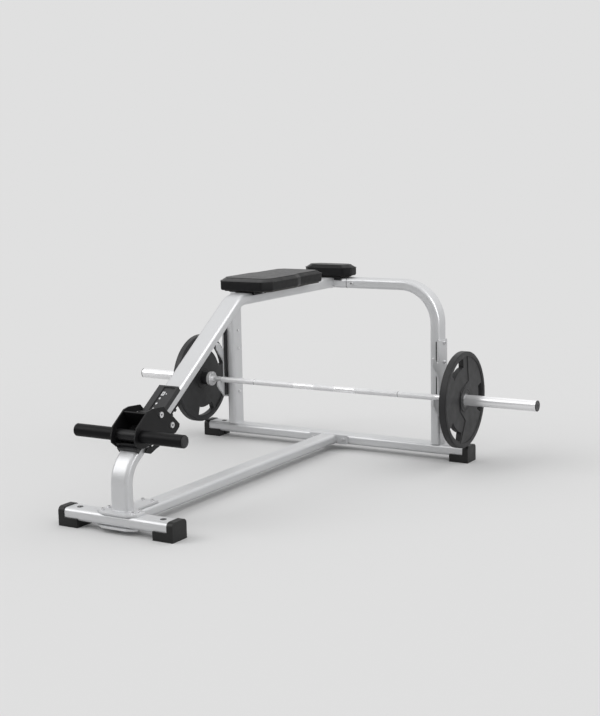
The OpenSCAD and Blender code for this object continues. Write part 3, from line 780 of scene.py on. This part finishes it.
def rail_window():
    """Pale height window near the top of the guide rail, with a dark pointer on it."""
    along = (high_of("guide_rail").z - RAIL_FOOT.z) / SLOPE_DIR.z - WINDOW_FROM_TOP
    center = on_rail(WINDOW_X, along, GROOVE_FLOOR + 0.6 * MM)
    plates = (("rail_window", 7 * MM, 11 * MM, 1.0 * MM, "silver_paint"),
              ("rail_pointer", 2 * MM, 5 * MM, 1.5 * MM, "black_paint"))
    soft = 0.3 * MM
    for name, half_x, half_y, top, slot in plates:
        rings = []
        for lift, inset in ((-1.0 * MM, 0.0), (top - soft, 0.0), (top, soft)):
            lifted = center + lift * SLOPE_OUT
            rings.append(oval(lifted, X, SLOPE_DIR, half_x - inset, half_y - inset, 1 * MM))
        add_object(name, loft(name, rings), slot, "frame", smooth=False)


def islands(node):
    """Separate solids of a node, each as an array of its points."""
    bm = bmesh.new()
    bm.from_mesh(NODES[node].data)
    bmesh.ops.remove_doubles(bm, verts=bm.verts, dist=0.01 * MM)
    left = set(bm.verts)
    found = []
    while left:
        queue, group = [left.pop()], []
        while queue:
            here = queue.pop()
            group.append(here.co[:])
            for edge in here.link_edges:
                other = edge.other_vert(here)
                if other in left:
                    left.remove(other)
                    queue.append(other)
        found.append(np.array(group))
    bm.free()
    return sorted(found, key=lambda group: tuple(group.mean(axis=0).round(4)))


def socket_shade(name, center, out, radius, sunk, body):
    """Black six-sided patch on a bolt's head: painted shade standing in for its hex recess."""
    side = out.cross(Z) if abs(out.z) < 0.9 else out.cross(X)
    side.normalize()
    up = out.cross(side)
    rings = []
    for lift, inset in ((-1.5 * MM, 0.0), (0.0, 0.0), (0.2 * MM, 0.4 * MM)):
        turns = [2 * math.pi * k / 6 for k in range(6)]
        rings.append([center + (lift - sunk) * out
                      + (radius - inset) * (math.cos(t) * side + math.sin(t) * up) for t in turns])
    # Painted shade: the black hex stands in for the shaded inside of the socket.
    return add_object(name, loft(name, rings), "black_paint", body, smooth=False)


SMALL_SOCKET_R, LARGE_SOCKET_R = 4.4 * MM, 4.8 * MM
PROUD, IN_CUP = -0.1 * MM, 3.2 * MM


def bolt_socket_shades():
    """Painted shade for the recess in each bolt head that can be seen from outside."""
    kinds = (("hook_bolts", (X, -X), SMALL_SOCKET_R, PROUD, "frame"),
             ("cheek_bolts", (X, -X), LARGE_SOCKET_R, IN_CUP, "carriage"),
             ("post_bolts", (Z,), SMALL_SOCKET_R, PROUD, "frame"),
             ("tee_bolts", (-Y,), SMALL_SOCKET_R, PROUD, "frame"))
    for node, ways, radius, sunk, body in kinds:
        number = 0
        for points in islands(node):
            for way in ways:
                reach = (points @ np.array(way)).max()
                if len(ways) == 2 and reach < 0:
                    continue
                tip = points[points @ np.array(way) > reach - 0.2 * MM].mean(axis=0)
                number += 1
                socket_shade(f"{node}_socket_{number}", Vector(tip), way, radius, sunk, body)


# ---------------------------------------------------------------- stage

BACKDROP = 0.745
FLOOR_SEEN = 0.658
FLOOR_BOUNCE = 0.60
HORIZON, ZENITH = 0.36, 1.12
RIGHT_LIFT, BACK_LIFT = 0.22, 0.22


def floor_paper():
    """Takes soft shadows near the machine and fades to a plain field far off."""
    s = Shader("floor_paper", (FLOOR_SEEN,) * 3, 0.9, specular=0.0)
    seen = s.node("ShaderNodeLightPath").outputs["Is Camera Ray"]
    s.link(s.mix(seen, (FLOOR_BOUNCE,) * 3, (FLOOR_SEEN,) * 3), s.bsdf.inputs["Base Color"])
    glow = s.node("ShaderNodeEmission")
    glow.inputs["Color"].default_value = (BACKDROP, BACKDROP, BACKDROP, 1)
    length = s.node("ShaderNodeVectorMath", operation="LENGTH")
    s.link(s.coords, length.inputs[0])
    far = s.math("MULTIPLY", seen, s.ramp(length.outputs["Value"], 2.2, 4.4))
    blend = s.node("ShaderNodeMixShader")
    s.link(far, blend.inputs[0])
    s.link(s.bsdf.outputs[0], blend.inputs[1])
    s.link(glow.outputs[0], blend.inputs[2])
    s.link(blend.outputs[0], s.tree.nodes["Material Output"].inputs["Surface"])
    return s.mat


def studio_world():
    """Bright overhead, dim at the horizon, a little lighter on the right and behind."""
    world = bpy.data.worlds.new("studio")
    world.use_nodes = True
    tree = world.node_tree
    coords = tree.nodes.new("ShaderNodeTexCoord")
    split = tree.nodes.new("ShaderNodeSeparateXYZ")
    height = tree.nodes.new("ShaderNodeMapRange")
    path = tree.nodes.new("ShaderNodeLightPath")
    seen = tree.nodes.new("ShaderNodeMix")
    tree.links.new(coords.outputs["Generated"], split.inputs[0])
    tree.links.new(split.outputs["Z"], height.inputs["Value"])
    for key, number in (("From Min", 0.05), ("From Max", 0.75), ("To Min", HORIZON), ("To Max", ZENITH)):
        height.inputs[key].default_value = number
    tree.links.new(path.outputs["Is Camera Ray"], seen.inputs["Factor"])
    tone = height.outputs["Result"]
    for axis, lift in (("X", RIGHT_LIFT), ("Y", BACK_LIFT)):
        lean = tree.nodes.new("ShaderNodeMath")
        lean.operation = "MULTIPLY_ADD"
        lean.inputs[1].default_value = lift
        tree.links.new(split.outputs[axis], lean.inputs[0])
        tree.links.new(tone, lean.inputs[2])
        tone = lean.outputs[0]
    tree.links.new(tone, seen.inputs["A"])
    seen.inputs["B"].default_value = BACKDROP
    tree.links.new(seen.outputs["Result"], tree.nodes["Background"].inputs["Strength"])
    tree.nodes["Background"].inputs["Color"].default_value = (1, 1, 1, 1)
    bpy.context.scene.world = world


def stage():
    size = 60.0
    mesh = mesh_from("floor", [(-size, -size, 0), (size, -size, 0), (size, size, 0), (-size, size, 0)],
                     [(0, 1, 2, 3)])
    floor = bpy.data.objects.new("floor", mesh)
    bpy.context.scene.collection.objects.link(floor)
    mesh.materials.append(floor_paper())
    studio_world()


def aim(lamp, place, target):
    lamp.location = place
    lamp.rotation_euler = (Vector(target) - Vector(place)).to_track_quat("-Z", "Y").to_euler()
    bpy.context.scene.collection.objects.link(lamp)


def sun(name, place, power, angle):
    light = bpy.data.lights.new(name, "SUN")
    light.energy = power
    light.angle = math.radians(angle)
    aim(bpy.data.objects.new(name, light), place, (0, 0, 0))


def reflected_strip(name, place, target, size_x, size_y, power):
    """Softbox that only shows as a highlight, so that the floor stays even."""
    light = bpy.data.lights.new(name, "AREA")
    light.shape = "RECTANGLE"
    light.size = size_x
    light.size_y = size_y
    light.energy = power
    lamp = bpy.data.objects.new(name, light)
    lamp.visible_diffuse = False
    aim(lamp, place, target)


def lights():
    sun("key", (-2.6, -2.0, 2.4), 0.85, 40)
    reflected_strip("right_strip", (4.2, 0.8, 2.6), (0, 0.1, 0.4), 1.6, 4.0, 100)
    reflected_strip("left_strip", (-4.4, -3.4, 2.0), (0, 0.1, 0.3), 1.2, 4.0, 10)


CAMERA_AT = (3.2278, -4.8841, 1.4615)
CAMERA_YAW, CAMERA_PITCH, CAMERA_ROLL = 0.541, 0.154, -0.01966
CAMERA_LENS = 80.55


def camera():
    """Three-quarter view from the foot end, a little above the pads."""
    data = bpy.data.cameras.new("camera")
    data.lens = CAMERA_LENS
    data.sensor_width = 36.0
    data.sensor_fit = "HORIZONTAL"
    cam = bpy.data.objects.new("camera", data)
    cam.matrix_world = (
        Matrix.Translation(CAMERA_AT)
        @ Matrix.Rotation(CAMERA_YAW, 4, "Z")
        @ Matrix.Rotation(math.pi / 2 - CAMERA_PITCH, 4, "X")
        @ Matrix.Rotation(CAMERA_ROLL, 4, "Z")
    )
    bpy.context.scene.collection.objects.link(cam)
    bpy.context.scene.camera = cam


camera()
finish_frame()
make_pad("chest_cushion", "chest_pad", chest_outline, side=39 * MM, bevel=17 * MM, front_bevel=34 * MM,
         crown=1.5 * MM, skin=1.5 * MM)
make_pad("head_cushion", "head_pad", head_outline, side=39 * MM, bevel=15 * MM, front_bevel=15 * MM,
         crown=1 * MM, skin=-2.5 * MM)
welds()
arch_joints()
rail_marks()
rail_window()
plate_relief()
sleeve_trim()
foot_bar_trim()
anchor_rings()
bolt_socket_shades()
stage()
lights()
bpy.context.scene.view_settings.view_transform = "Standard"
